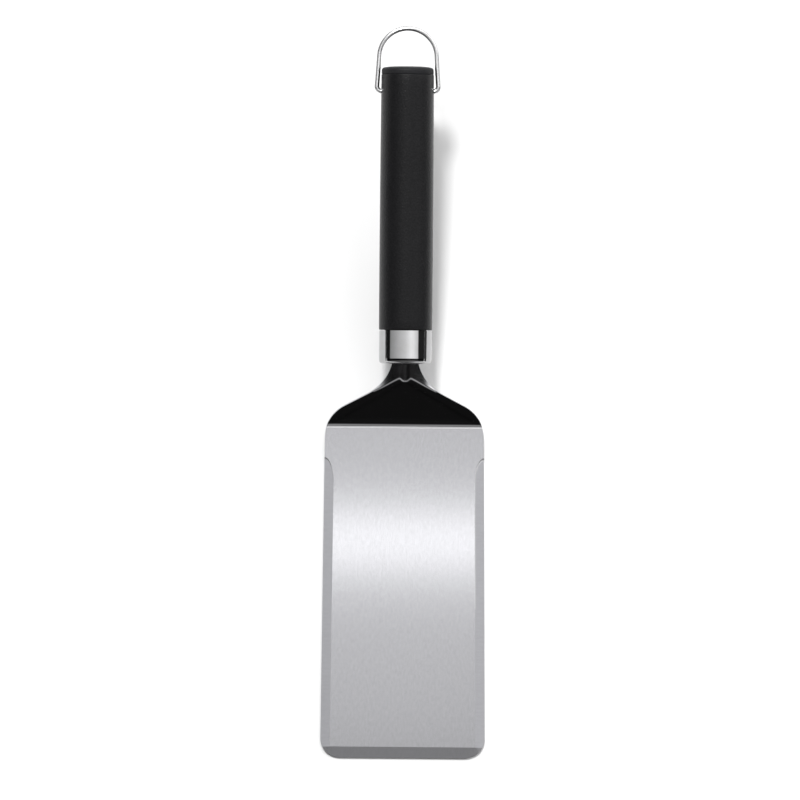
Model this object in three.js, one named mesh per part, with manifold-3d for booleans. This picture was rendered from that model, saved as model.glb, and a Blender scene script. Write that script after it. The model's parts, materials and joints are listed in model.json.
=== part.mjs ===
// Grill spatula: pressed stainless blade with its tang, chromed ferrule, soft grip on a rigid core,
// end cap and a swinging wire bail. Millimetres, +Z up. The blade lies on z = 0 with its underside
// centred on the origin, the tip points to -Y and the handle to +Y.

import * as THREE from 'three';
import { mergeVertices } from 'three/addons/utils/BufferGeometryUtils.js';
import Module from 'manifold-3d';

const wasm = await Module();
wasm.setup();

// ---- Driving dimensions ----

// Blade pressing
const SHEET = 2;
const BLADE_LENGTH = 182.7;
const TIP_WIDTH = 89;
const HEEL_WIDTH = 86.1;
const TIP_CORNER_RADIUS = 11;
const HEEL_BEND_RADIUS = 3;
const RAMP_ANGLE = THREE.MathUtils.degToRad(40);
const RAMP_LENGTH = 30.1;
const SHOULDER_RADIUS = 21;
const SHOULDER_START = 6;
const SHOULDER_SLOPE = THREE.MathUtils.degToRad(60);
const NECK_FILLET_RADIUS = 28;

// Ground edges
const FRONT_BEVEL_WIDTH = 5.8;
const SIDE_BEVEL_WIDTH = 5.1;
const BEVEL_DEPTH = 1.2;
const SIDE_BEVEL_START = 17;
const BEVEL_RUN_OUT = 15;

// Neck and tang
const HANDLE_ANGLE = THREE.MathUtils.degToRad(12);
const NECK_LENGTH = 7.7;
const TANG_WIDTH = 12.6;
const TANG_PAST_PIN = 8;
const CROWN_WIDTH = 33;
const CROWN_DROP = 4.1;
const CROWN_CURVE = 1.2;
const GROOVE_WIDTH = 6.3;
const GROOVE_DEPTH = 0.8;

// Clearance between pieces that touch
const GAP = 0.3;

// Ferrule, seal and tang pins
const FERRULE_LENGTH = 18;
const FERRULE_STEP = 0.1;
const FERRULE_WALL = 1.3;
const FERRULE_FRONT_WALL = 2;
const FERRULE_EDGE_RADIUS = 1.3;
const SEAL_THICKNESS = 3;
const PIN_RADIUS = 2;
const PIN_FROM_FERRULE = 12;
const PIN_SPACING = 24;

// Grip sleeve
const GRIP_LENGTH = 138.5;
const GRIP_RADIUS = 14.4;
const GRIP_SWELL = 0.15;
const GRIP_TAPER = 0.15;
const GRIP_WALL = 2.6;
const GRIP_EDGE = 0.5;

// End cap
const CAP_THICKNESS = 4.1;
const CAP_CROWN = 1.2;
const CAP_EDGE_RADIUS = 1.8;
const CAP_EDGE_TURN = THREE.MathUtils.degToRad(76);
const PLUG_RADIUS = 7.5;
const PLUG_PAST_BAIL = 7.5;

// Wire bail
const WIRE_RADIUS = 1.35;
const BAIL_FROM_SEAM = 9.5;
const BAIL_OPENING = 19.2;
const BAIL_FOOT_CLEARANCE = 1.1;
const BAIL_CORNER_RADIUS = 2.6;
const FOOT_IN_PLUG = 2.5;

// Fineness of round stretches
const ROUND_SEGMENTS = 48;
const HOLE_SEGMENTS = 20;
const WIRE_SIDES = 12;
const WIRE_STEPS = 80;
const ARC_STEPS = 3;
const OUTLINE_STEPS = 10;

// Half size of the blocks that cut or bound a piece
const FAR = 600;

// ---- Places along the handle, from the ferrule's front face ----

const sealFront = FERRULE_FRONT_WALL + GAP;
const coreFront = sealFront + SEAL_THICKNESS + GAP;
const gripFront = FERRULE_LENGTH + GAP;
const gripEnd = gripFront + GRIP_LENGTH;
const capSeam = gripEnd + GAP;
const pivotPlace = capSeam - BAIL_FROM_SEAM;
const plugEnd = pivotPlace - PLUG_PAST_BAIL;
const firstPin = FERRULE_LENGTH + PIN_FROM_FERRULE;
const pinPlaces = [firstPin, firstPin + PIN_SPACING];
const tangEnd = firstPin + PIN_SPACING + TANG_PAST_PIN;

// ---- Fits ----

const ferruleRadius = GRIP_RADIUS - FERRULE_STEP;
const ferruleBore = ferruleRadius - FERRULE_WALL;
const spigotRadius = ferruleBore - GAP;
const gripEndRadius = GRIP_RADIUS - GRIP_TAPER;
const sleeveBore = gripEndRadius - GRIP_WALL;
const coreRadius = sleeveBore - GAP;
const footHoleRadius = WIRE_RADIUS + GAP;

// ---- Solids and shapes ----

// A closed geometry as a solid that can be joined and cut.
function solid(geometry) {
  const bare = geometry.clone();
  bare.deleteAttribute('normal');
  bare.deleteAttribute('uv');
  const merged = mergeVertices(bare, 1e-4);
  const corners = merged.index.array;
  const triangles = [];
  for (let i = 0; i < corners.length; i += 3) {
    const [a, b, c] = corners.slice(i, i + 3);
    if (a !== b && b !== c && c !== a) {
      triangles.push(a, b, c);
    }
  }
  return new wasm.Manifold(new wasm.Mesh({
    numProp: 3,
    vertProperties: new Float32Array(merged.attributes.position.array),
    triVerts: new Uint32Array(triangles),
  }));
}

function part(name, body, colour, roughness, metalness) {
  const mesh = body.getMesh();
  const geometry = new THREE.BufferGeometry();
  geometry.setAttribute('position', new THREE.BufferAttribute(mesh.vertProperties, 3));
  geometry.setIndex(new THREE.BufferAttribute(mesh.triVerts, 1));
  geometry.computeVertexNormals();
  const material = new THREE.MeshStandardMaterial({ color: colour, roughness, metalness });
  const result = new THREE.Mesh(geometry, material);
  result.name = name;
  return result;
}

// The right half of an outline, completed by its mirror image on the left.
function mirroredShape(half) {
  const points = half.getPoints(OUTLINE_STEPS);
  const left = points.map((point) => new THREE.Vector2(-point.x, point.y)).reverse();
  return new THREE.Shape([...points, ...left]);
}

function extrude(shape, depth) {
  return new THREE.ExtrudeGeometry(shape, { depth, bevelEnabled: false, curveSegments: 8 });
}

// A shape drawn in (y, z), pushed across the whole width.
function acrossTheBlade(shape) {
  const geometry = extrude(shape, 2 * FAR);
  const alongY = new THREE.Vector3(0, 1, 0);
  const alongZ = new THREE.Vector3(0, 0, 1);
  const alongX = new THREE.Vector3(1, 0, 0);
  geometry.translate(0, 0, -FAR);
  geometry.applyMatrix4(new THREE.Matrix4().makeBasis(alongY, alongZ, alongX));
  return geometry;
}

// A shape drawn in (x, z), pushed along y.
function alongTheHandle(shape, start, end) {
  const geometry = extrude(shape, end - start);
  geometry.rotateX(Math.PI / 2);
  geometry.translate(0, end, 0);
  return geometry;
}

function crossHole(radius, place) {
  const geometry = new THREE.CylinderGeometry(radius, radius, 2 * FAR, HOLE_SEGMENTS);
  geometry.rotateZ(Math.PI / 2);
  geometry.translate(0, place, 0);
  return solid(geometry);
}

// A round bar square to the tang, through the handle's axis.
function pinBar(radius, length, place) {
  const geometry = new THREE.CylinderGeometry(radius, radius, length, HOLE_SEGMENTS);
  geometry.rotateX(Math.PI / 2);
  geometry.translate(0, place, 0);
  return solid(geometry);
}

// A body turned about the handle's axis, from a path of radius and place along the handle.
function turned(path) {
  return solid(new THREE.LatheGeometry(path.getPoints(ARC_STEPS), ROUND_SEGMENTS));
}

// ---- Section of the neck and tang ----

const sectionHeight = SHEET + GROOVE_DEPTH;

// Height of the neck's top face below its crest lines: a crown that falls away to both sides, with
// a shallow groove along the middle.
function topHeight(x) {
  const fromMiddle = Math.abs(x);
  if (fromMiddle < GROOVE_WIDTH / 2) {
    return -GROOVE_DEPTH * (1 - (2 * fromMiddle / GROOVE_WIDTH) ** 2);
  }
  const share = (fromMiddle - GROOVE_WIDTH / 2) / ((CROWN_WIDTH - GROOVE_WIDTH) / 2);
  return -CROWN_DROP * Math.min(1, share) ** CROWN_CURVE;
}

// The top face's line from left to right, moved up by lift.
function sectionLine(halfWidth, lift) {
  const steps = 6;
  const groove = Math.min(GROOVE_WIDTH / 2, halfWidth);
  const places = [];
  for (let i = 0; i <= steps; i += 1) {
    places.push((groove * i) / steps);
  }
  for (let i = 1; i <= steps; i += 1) {
    places.push(groove + ((halfWidth - groove) * i) / steps);
  }
  const left = places.slice(1).reverse().map((x) => -x);
  return [...left, ...places].map((x) => new THREE.Vector2(x, topHeight(x) + lift));
}

// Closed section about the handle's axis, grown by a clearance all round.
function neckSection(halfWidth, clearance) {
  const top = sectionLine(halfWidth + clearance, sectionHeight / 2 + clearance);
  const bottom = sectionLine(halfWidth + clearance, sectionHeight / 2 - SHEET - clearance);
  return new THREE.Shape([...bottom, ...top.reverse()]);
}

// ---- Blade pressing: everything in its own frame, the heel's bend line on y = 0 ----

const crest = new THREE.Vector2(
  RAMP_LENGTH * Math.cos(RAMP_ANGLE),
  SHEET + RAMP_LENGTH * Math.sin(RAMP_ANGLE),
);

// The shoulder is cut square to a plane half way between the ramp and the neck.
const outlineAngle = (RAMP_ANGLE + HANDLE_ANGLE) / 2;
const shoulderEnd = new THREE.Vector2(
  HEEL_WIDTH / 2 - SHOULDER_RADIUS * (1 - Math.cos(SHOULDER_SLOPE)),
  -SHOULDER_START + SHOULDER_RADIUS * Math.sin(SHOULDER_SLOPE),
);
const filletStartX = TANG_WIDTH / 2 + NECK_FILLET_RADIUS * (1 - Math.cos(SHOULDER_SLOPE));
const filletStartY = shoulderEnd.y + (shoulderEnd.x - filletStartX) / Math.tan(SHOULDER_SLOPE);
const filletCentre = new THREE.Vector2(
  TANG_WIDTH / 2 + NECK_FILLET_RADIUS,
  filletStartY + NECK_FILLET_RADIUS * Math.sin(SHOULDER_SLOPE),
);

// How far up the outline's plane a place along the handle lies.
function outlinePlace(place) {
  const ramp = RAMP_LENGTH * Math.cos(RAMP_ANGLE - outlineAngle);
  return ramp + (NECK_LENGTH + place) * Math.cos(outlineAngle - HANDLE_ANGLE);
}

// Half width of the sheet at a place along the handle.
function sheetHalfWidth(place) {
  const below = Math.max(0, filletCentre.y - outlinePlace(place));
  return filletCentre.x - Math.sqrt(NECK_FILLET_RADIUS ** 2 - below ** 2);
}

// Everything under the sheet's top or bottom face, from the side: plate, heel bend and ramp. Both
// faces share one bend centre.
function underPlateAndRamp(depth) {
  const radius = HEEL_BEND_RADIUS + depth;
  const centreY = -HEEL_BEND_RADIUS * Math.tan(RAMP_ANGLE / 2);
  const centreZ = SHEET + HEEL_BEND_RADIUS;
  const bendStart = -Math.PI / 2;
  const shape = new THREE.Shape();
  shape.moveTo(-FAR, -FAR);
  shape.lineTo(-FAR, SHEET - depth);
  shape.absarc(centreY, centreZ, radius, bendStart, bendStart + RAMP_ANGLE, false);
  shape.lineTo(
    centreY + radius * Math.sin(RAMP_ANGLE) + FAR * Math.cos(RAMP_ANGLE),
    centreZ - radius * Math.cos(RAMP_ANGLE) + FAR * Math.sin(RAMP_ANGLE),
  );
  shape.lineTo(FAR, -FAR);
  shape.closePath();
  return solid(acrossTheBlade(shape));
}

// Everything under the neck's top or bottom face. Over the plate it is unbounded.
function underNeck(depth) {
  const line = sectionLine(CROWN_WIDTH / 2, -depth);
  const edgeHeight = line[0].y;
  const shape = new THREE.Shape([
    new THREE.Vector2(-FAR, -FAR),
    new THREE.Vector2(FAR, -FAR),
    new THREE.Vector2(FAR, edgeHeight),
    ...line.reverse(),
    new THREE.Vector2(-FAR, edgeHeight),
  ]);
  const neck = alongTheHandle(shape, -RAMP_LENGTH, FAR);
  neck.rotateX(HANDLE_ANGLE);
  neck.translate(0, crest.x, crest.y);
  const overPlate = new THREE.BoxGeometry(2 * FAR, FAR, 2 * FAR);
  overPlate.translate(0, -FAR / 2, 0);
  return solid(neck).add(solid(overPlate));
}

function plateOutline() {
  const taper = Math.atan((TIP_WIDTH - HEEL_WIDTH) / 2 / BLADE_LENGTH);
  const cornerX = TIP_WIDTH / 2 - TIP_CORNER_RADIUS;
  const cornerY = TIP_CORNER_RADIUS - BLADE_LENGTH;
  const half = new THREE.Path();
  half.moveTo(HEEL_WIDTH / 2, FAR);
  half.lineTo(HEEL_WIDTH / 2, 0);
  half.absarc(cornerX, cornerY, TIP_CORNER_RADIUS, taper, -Math.PI / 2, true);
  return solid(extrude(mirroredShape(half), 2 * FAR).translate(0, 0, -FAR));
}

function shoulderOutline() {
  const turn = SHOULDER_SLOPE;
  const half = new THREE.Path();
  half.moveTo(TIP_WIDTH, -FAR);
  half.lineTo(HEEL_WIDTH / 2, -SHOULDER_START);
  half.absarc(HEEL_WIDTH / 2 - SHOULDER_RADIUS, -SHOULDER_START, SHOULDER_RADIUS, 0, turn, false);
  half.absarc(filletCentre.x, filletCentre.y, NECK_FILLET_RADIUS, Math.PI + turn, Math.PI, true);
  half.lineTo(TANG_WIDTH / 2, outlinePlace(tangEnd));
  const outline = extrude(mirroredShape(half), 2 * FAR);
  outline.translate(0, 0, -FAR);
  outline.rotateX(outlineAngle);
  outline.translate(0, 0, SHEET);
  return solid(outline);
}

// A wedge that takes the top face down towards an edge on the given side, and runs on past it.
function bevelWedge(width, side) {
  const fall = -2 * BEVEL_DEPTH;
  return new THREE.Shape([
    new THREE.Vector2(-side * width, 0),
    new THREE.Vector2(side * width, fall),
    new THREE.Vector2(side * width, width),
    new THREE.Vector2(-side * width, width),
  ]);
}

// The side bevel runs out towards the heel in a curve, as a stretched cone.
function sideBevel(side) {
  const taper = Math.atan((TIP_WIDTH - HEEL_WIDTH) / 2 / BLADE_LENGTH);
  const wedge = alongTheHandle(bevelWedge(SIDE_BEVEL_WIDTH, side), -BLADE_LENGTH, 0);
  const runOut = new THREE.ConeGeometry(2 * SIDE_BEVEL_WIDTH, 2 * BEVEL_DEPTH, ROUND_SEGMENTS);
  runOut.rotateX(-Math.PI / 2);
  runOut.scale(1, BEVEL_RUN_OUT / SIDE_BEVEL_WIDTH, 1);
  const pieces = [wedge, runOut].map((geometry) => {
    geometry.translate(0, -SIDE_BEVEL_START - BEVEL_RUN_OUT, 0);
    geometry.rotateZ(side * taper);
    geometry.translate(side * HEEL_WIDTH / 2, 0, SHEET);
    return solid(geometry);
  });
  return pieces[0].add(pieces[1]);
}

function frontBevel() {
  return solid(acrossTheBlade(bevelWedge(FRONT_BEVEL_WIDTH, -1)).translate(0, -BLADE_LENGTH, SHEET));
}

// Where the handle's axis starts, in the blade's frame.
const axisStart = new THREE.Vector3(0, NECK_LENGTH, -sectionHeight / 2);
axisStart.applyAxisAngle(new THREE.Vector3(1, 0, 0), HANDLE_ANGLE);
axisStart.add(new THREE.Vector3(0, crest.x, crest.y));

function tangHole(place) {
  const radius = PIN_RADIUS + GAP;
  const geometry = new THREE.CylinderGeometry(radius, radius, ferruleRadius, HOLE_SEGMENTS);
  geometry.rotateX(Math.PI / 2);
  geometry.translate(0, place, 0);
  geometry.rotateX(HANDLE_ANGLE);
  geometry.translate(axisStart.x, axisStart.y, axisStart.z);
  return solid(geometry);
}

function makeBlade() {
  const upper = underPlateAndRamp(0).intersect(underNeck(0));
  const lower = underPlateAndRamp(SHEET).intersect(underNeck(SHEET));
  let body = upper.subtract(lower).intersect(plateOutline()).intersect(shoulderOutline());
  for (const cut of [sideBevel(-1), sideBevel(1), frontBevel(), ...pinPlaces.map(tangHole)]) {
    body = body.subtract(cut);
  }
  return part('blade', body, 0xc8c8cc, 0.35, 1);
}

// ---- Handle pieces: the handle's axis is their y axis, the ferrule's front face is y = 0 ----

// The slot that the sheet passes through, from one place to another.
function sheetSlot(start, end) {
  return solid(alongTheHandle(neckSection(sheetHalfWidth(start), GAP), start, end));
}

function makeFerrule() {
  const edge = FERRULE_EDGE_RADIUS;
  const path = new THREE.Path();
  path.moveTo(0, 0);
  path.lineTo(ferruleRadius - edge, 0);
  path.absarc(ferruleRadius - edge, edge, edge, -Math.PI / 2, 0, false);
  path.lineTo(ferruleRadius, FERRULE_LENGTH);
  path.lineTo(ferruleBore, FERRULE_LENGTH);
  path.lineTo(ferruleBore, FERRULE_FRONT_WALL);
  path.lineTo(0, FERRULE_FRONT_WALL);
  const body = turned(path).subtract(sheetSlot(0, sealFront).add(sheetSlot(-GAP, GAP)));
  return part('ferrule', body, 0xe0e0e4, 0.08, 1);
}

function makeNeckSeal() {
  const path = new THREE.Path();
  path.moveTo(0, sealFront);
  path.lineTo(spigotRadius, sealFront);
  path.lineTo(spigotRadius, sealFront + SEAL_THICKNESS);
  path.lineTo(0, sealFront + SEAL_THICKNESS);
  const body = turned(path).subtract(sheetSlot(sealFront - GAP, coreFront));
  return part('neck_seal', body, 0x2a2a2a, 0.85, 0);
}

function makeHandleCore() {
  const socket = PLUG_RADIUS + GAP;
  const path = new THREE.Path();
  path.moveTo(0, coreFront);
  path.lineTo(spigotRadius, coreFront);
  path.lineTo(spigotRadius, FERRULE_LENGTH);
  path.lineTo(coreRadius, FERRULE_LENGTH);
  path.lineTo(coreRadius, gripEnd);
  path.lineTo(socket, gripEnd);
  path.lineTo(socket, plugEnd - GAP);
  path.lineTo(0, plugEnd - GAP);
  let body = turned(path).subtract(sheetSlot(coreFront - GAP, tangEnd + SHEET));
  body = body.subtract(crossHole(footHoleRadius, pivotPlace));
  for (const place of pinPlaces) {
    body = body.subtract(pinBar(PIN_RADIUS + GAP, 4 * coreRadius, place));
  }
  return part('handle_core', body, 0x3a3a3c, 0.6, 0);
}

function makeTangPin(name, place) {
  const body = pinBar(PIN_RADIUS, 2 * (coreRadius - 2 * GAP), place);
  return part(name, body, 0xb0b0b4, 0.3, 1);
}

function makeGripSleeve() {
  const middle = (gripFront + gripEnd) / 2;
  const path = new THREE.Path();
  path.moveTo(sleeveBore, gripFront);
  path.lineTo(GRIP_RADIUS - GRIP_EDGE, gripFront);
  path.lineTo(GRIP_RADIUS, gripFront + GRIP_EDGE);
  path.splineThru([
    new THREE.Vector2(GRIP_RADIUS + GRIP_SWELL, middle),
    new THREE.Vector2(gripEndRadius, gripEnd - GRIP_EDGE),
  ]);
  path.lineTo(gripEndRadius - GRIP_EDGE, gripEnd);
  path.lineTo(sleeveBore, gripEnd);
  path.lineTo(sleeveBore, gripFront);
  const body = turned(path).subtract(crossHole(footHoleRadius, pivotPlace));
  return part('grip_sleeve', body, 0x2c2c2e, 0.7, 0);
}

function makeEndCap() {
  const edge = CAP_EDGE_RADIUS;
  const top = capSeam + CAP_THICKNESS;
  const path = new THREE.Path();
  path.moveTo(0, plugEnd);
  path.lineTo(PLUG_RADIUS, plugEnd);
  path.lineTo(PLUG_RADIUS, capSeam);
  path.lineTo(gripEndRadius, capSeam);
  path.absarc(gripEndRadius - edge, top - CAP_CROWN - edge, edge, 0, CAP_EDGE_TURN, false);
  path.quadraticCurveTo(gripEndRadius / 2, top, 0, top);
  const body = turned(path).subtract(crossHole(footHoleRadius, pivotPlace));
  return part('end_cap', body, 0x2a2a2c, 0.55, 0);
}

// The bail's centre line, as a flat path, read as a curve in space.
class WireLine extends THREE.Curve {
  constructor(path) {
    super();
    this.path = path;
  }

  getPoint(share, target = new THREE.Vector3()) {
    const point = this.path.getPointAt(share);
    return target.set(point.x, point.y, 0);
  }
}

// The bail about its own pivot: two feet that point inwards, legs and a round arch.
function makeHangingBail() {
  const foot = gripEndRadius + BAIL_FOOT_CLEARANCE + WIRE_RADIUS;
  const corner = BAIL_CORNER_RADIUS;
  const arch = gripEndRadius + WIRE_RADIUS;
  const reach = BAIL_FROM_SEAM + CAP_THICKNESS + BAIL_OPENING + WIRE_RADIUS;
  const archCentre = reach - arch;
  const footEnd = PLUG_RADIUS - FOOT_IN_PLUG;
  const third = (archCentre - corner) / 3;
  const path = new THREE.Path();
  path.moveTo(footEnd, 0);
  path.lineTo(foot - corner, 0);
  path.absarc(foot - corner, corner, corner, -Math.PI / 2, 0, false);
  path.bezierCurveTo(foot, corner + third, arch, archCentre - third, arch, archCentre);
  path.absarc(0, archCentre, arch, 0, Math.PI, false);
  path.bezierCurveTo(-arch, archCentre - third, -foot, corner + third, -foot, corner);
  path.absarc(corner - foot, corner, corner, Math.PI, Math.PI * 1.5, false);
  path.lineTo(-footEnd, 0);
  const section = new THREE.Shape().absarc(0, 0, WIRE_RADIUS, 0, 2 * Math.PI, false);
  const wire = new THREE.ExtrudeGeometry(section, {
    extrudePath: new WireLine(path),
    steps: WIRE_STEPS,
    curveSegments: WIRE_SIDES / 2,
  });
  return part('hanging_bail', solid(wire), 0xe0e0e4, 0.08, 1);
}

// ---- Assembly ----

const bail = new THREE.Group();
bail.position.y = pivotPlace;
bail.add(makeHangingBail());

const handle = new THREE.Group();
handle.position.copy(axisStart);
handle.rotation.x = HANDLE_ANGLE;
handle.add(
  makeFerrule(),
  makeNeckSeal(),
  makeHandleCore(),
  makeTangPin('tang_pin_front', pinPlaces[0]),
  makeTangPin('tang_pin_rear', pinPlaces[1]),
  makeGripSleeve(),
  makeEndCap(),
  bail,
);

const spatula = new THREE.Group();
spatula.position.y = BLADE_LENGTH / 2;
spatula.add(makeBlade(), handle);

export default spatula;
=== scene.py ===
import json
import math

import bmesh
import bpy
from mathutils import Matrix, Vector


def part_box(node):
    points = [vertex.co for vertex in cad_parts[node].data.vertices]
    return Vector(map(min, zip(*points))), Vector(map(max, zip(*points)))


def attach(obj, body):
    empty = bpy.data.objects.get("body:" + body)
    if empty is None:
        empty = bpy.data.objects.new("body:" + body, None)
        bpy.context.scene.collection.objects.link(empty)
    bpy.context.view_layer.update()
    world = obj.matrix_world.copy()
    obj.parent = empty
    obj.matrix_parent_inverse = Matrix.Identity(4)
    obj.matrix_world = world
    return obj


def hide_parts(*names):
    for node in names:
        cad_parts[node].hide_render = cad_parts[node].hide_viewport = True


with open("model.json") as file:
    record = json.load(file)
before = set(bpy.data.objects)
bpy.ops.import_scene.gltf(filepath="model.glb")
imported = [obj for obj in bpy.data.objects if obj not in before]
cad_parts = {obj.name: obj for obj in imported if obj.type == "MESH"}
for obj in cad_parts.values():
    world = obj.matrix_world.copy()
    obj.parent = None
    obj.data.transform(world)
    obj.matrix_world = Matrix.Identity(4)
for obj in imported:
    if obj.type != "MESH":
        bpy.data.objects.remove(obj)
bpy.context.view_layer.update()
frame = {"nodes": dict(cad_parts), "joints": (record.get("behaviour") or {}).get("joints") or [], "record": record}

# Lengths are in millimetres, except those of the stage, the lights and the camera's distance and
# width, in metres. x runs across the tool, y from the tip to the handle's end, z up.

MM = 0.001

# ---- Sizes read from the frame ----

blade_low, blade_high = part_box("blade")
PIVOT = Vector(frame["joints"][0]["pos_m"])
LOOP_MOUNT = next(m for m in frame["record"]["mounts"] if m["name"] == "hanging_loop")
HANDLE_AXIS = Vector(LOOP_MOUNT["axis"]).normalized()
HANDLE_ANGLE = math.atan2(HANDLE_AXIS.z, HANDLE_AXIS.y)
BLADE_LENGTH = -2 * blade_low.y / MM
TIP_WIDTH = (blade_high.x - blade_low.x) / MM

# ---- Blade pressing ----

SHEET = 2.0
HEEL_WIDTH = 86.1
TIP_CORNER_RADIUS = 11.0
RAMP_ANGLE = math.radians(40)
RAMP_LENGTH = 30.1
SHOULDER_RADIUS = 21.0
SHOULDER_START = 6.0
SHOULDER_SLOPE = math.radians(60)
NECK_FILLET_RADIUS = 28.0
NECK_LENGTH = 7.7
TANG_WIDTH = 12.6
TANG_PAST_FERRULE = 62.0
CROWN_WIDTH = 33.0
CROWN_DROP = 4.1
CROWN_CURVE = 1.2
GROOVE_WIDTH = 6.3
GROOVE_DEPTH = 0.8
HEEL_SOFTNESS_TOP = 1.0
HEEL_SHIFT = 0.5
HEEL_SOFTNESS_UNDER = 1.34
CREST_SOFTNESS = 0.35
NECK_DIP = 0.085
NECK_DIP_PIVOT = 4.0
NECK_DIP_WIDTH = 16.0
DISH_DEPTH = 0.18
DISH_BORDER = 3.2
DISH_SLOPE = 1.55
DISH_APEX = 28.0
DISH_START = 1.5
FRONT_BEVEL = 5.8
SIDE_BEVEL = 5.1
BEVEL_DEPTH = 1.2
SIDE_BEVEL_START = 17.0
BEVEL_RUN_OUT = 15.0
RUN_OUT_WALL = 24.0
BURR_REACH = 100.0
BURR_START = 0.9
RIM_STRIP = 0.5
POLISH_START = -1.0
RIM_ROUND = 0.18
LEAST_CUT = 0.002
BLADE_SHARP = 9.0

# Keeps rounding errors of the blade inside the frame's box.
BLADE_SHRINK = 0.99998
BLADE_LIFT = 0.001

OUTLINE_ANGLE = (RAMP_ANGLE + HANDLE_ANGLE) / 2
HALF_TURN = (RAMP_ANGLE - HANDLE_ANGLE) / 2
CREST_PLACE = RAMP_LENGTH * math.cos(HALF_TURN)
CREST_HEIGHT = RAMP_LENGTH * math.sin(HALF_TURN)
SHOULDER_END_X = HEEL_WIDTH / 2 - SHOULDER_RADIUS * (1 - math.cos(SHOULDER_SLOPE))
SHOULDER_END_Y = -SHOULDER_START + SHOULDER_RADIUS * math.sin(SHOULDER_SLOPE)
FILLET_START_X = TANG_WIDTH / 2 + NECK_FILLET_RADIUS * (1 - math.cos(SHOULDER_SLOPE))
FILLET_START_Y = SHOULDER_END_Y + (SHOULDER_END_X - FILLET_START_X) / math.tan(SHOULDER_SLOPE)
FILLET_CENTRE_Y = FILLET_START_Y + NECK_FILLET_RADIUS * math.sin(SHOULDER_SLOPE)
TANG_END = CREST_PLACE + (NECK_LENGTH + TANG_PAST_FERRULE) * math.cos(HALF_TURN)

# Stretches of the blade's rows behind the ground edges: from, to and step.
ROW_STRETCHES = (
    (-SIDE_BEVEL_START, -8, 1.5),
    (-8, 4, 0.35),
    (4, 18, 0.6),
    (18, CREST_PLACE + 1, 0.3),
    (CREST_PLACE + 1, FILLET_CENTRE_Y, 0.8),
    (FILLET_CENTRE_Y, TANG_END, 5),
)
PLATE_STEP = 3
TIP_TURN = 6
CREASE_TURN = 7
RUN_OUT_TURN = 3
COLUMNS_INSIDE = 52
COLUMNS_IN_STRIP = 8
STRIP_CROWDING = 1.7

# ---- Handle, measured along its axis from the ferrule's front face ----

PIVOT_PLACE = 147.6
FERRULE_LENGTH = 18.0
FERRULE_RADIUS = 14.3
FERRULE_WALL = 1.3
FERRULE_FRONT_WALL = 2.0
FERRULE_ROUND = 1.7
FERRULE_ROLL = 1.1
FERRULE_ROLL_SLOPE = 3.2
FERRULE_SLOT_HALF = 7.15
SLOT_STEPS = 24
RING_NEAR = 0.1
RING_FAR = 0.4
GRIP_FRONT = 18.3
GRIP_END = 156.8
GRIP_RADIUS = 14.4
GRIP_SWELL = 0.15
GRIP_TAPER = 0.15
GRIP_BORE = 11.65
GRIP_ROUND = 0.5
GRIP_STEPS = 24
CAP_SEAM = 156.86
CAP_THICKNESS = 4.34
CAP_CROWN = 0.6
CAP_ROUND = 1.8
CAP_ROUND_TURN = 78
CAP_DOME_POWER = 4
DOME_STEPS = 16
CAP_SEAM_ROUND = 0.3
CAP_INSET = 0.14
PLUG_CHAMFER = 0.5
PLUG_RADIUS = 7.5
PLUG_END = 140.1
FOOT_HOLE = 1.65
DRILL_LENGTH = 60.0
DRILL_SIDES = 32
WIRE_RADIUS = 1.34
WIRE_SIDES = 24
BAIL_REACH = 34.13
BAIL_FOOT = 16.7
BAIL_ARCH = 15.6
BAIL_CORNER = 2.6
BAIL_FOOT_END = 5.0
FOOT_STEPS = 2
CORNER_STEPS = 12
LEG_STEPS = 6
ARCH_STEPS = 64
GAP = 0.3
SPIN_STEPS = 160
SAME = 0.0005


# ---- Mesh helpers ----

def to_handle():
    """Places a mesh made about the handle's axis, in millimetres, in the frame."""
    start = PIVOT - HANDLE_AXIS * PIVOT_PLACE * MM
    return Matrix.Translation(start) @ Matrix.Rotation(HANDLE_ANGLE, 4, "X") @ Matrix.Scale(MM, 4)


def finish_piece(bm, name, body, nodes, finishes, place, sharp=30.0):
    """Closes a mesh, puts it in its place, ties the piece to its body and hides its nodes."""
    bmesh.ops.remove_doubles(bm, verts=bm.verts, dist=1e-4)
    bmesh.ops.recalc_face_normals(bm, faces=bm.faces)
    bmesh.ops.transform(bm, matrix=place, verts=bm.verts)
    mesh = bpy.data.meshes.new(name)
    bm.to_mesh(mesh)
    bm.free()
    for finish in finishes:
        mesh.materials.append(MATERIALS[finish])
    mesh.shade_smooth()
    mesh.set_sharp_from_angle(angle=math.radians(sharp))
    piece = bpy.data.objects.new(name, mesh)
    bpy.context.scene.collection.objects.link(piece)
    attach(piece, body)
    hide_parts(*nodes)


def arc(centre_r, centre_y, radius, start, end, steps):
    """Points of an arc in a turned profile, as pairs of radius and place, angles in degrees."""
    points = []
    for i in range(steps + 1):
        angle = math.radians(start + (end - start) * i / steps)
        points.append((centre_r + radius * math.cos(angle), centre_y + radius * math.sin(angle)))
    return points


def turned(profile, closed=False):
    """Spins a profile of radius and place about the handle's axis."""
    bm = bmesh.new()
    verts = [bm.verts.new((radius, place, 0)) for radius, place in profile]
    edges = [bm.edges.new(pair) for pair in zip(verts, verts[1:])]
    if closed:
        edges.append(bm.edges.new((verts[-1], verts[0])))
    bmesh.ops.spin(bm, geom=verts + edges, cent=(0, 0, 0), axis=(0, 1, 0), dvec=(0, 0, 0),
                   angle=2 * math.pi, steps=SPIN_STEPS, use_merge=True, use_duplicate=False)
    return bm


# ---- Node helpers ----

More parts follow.
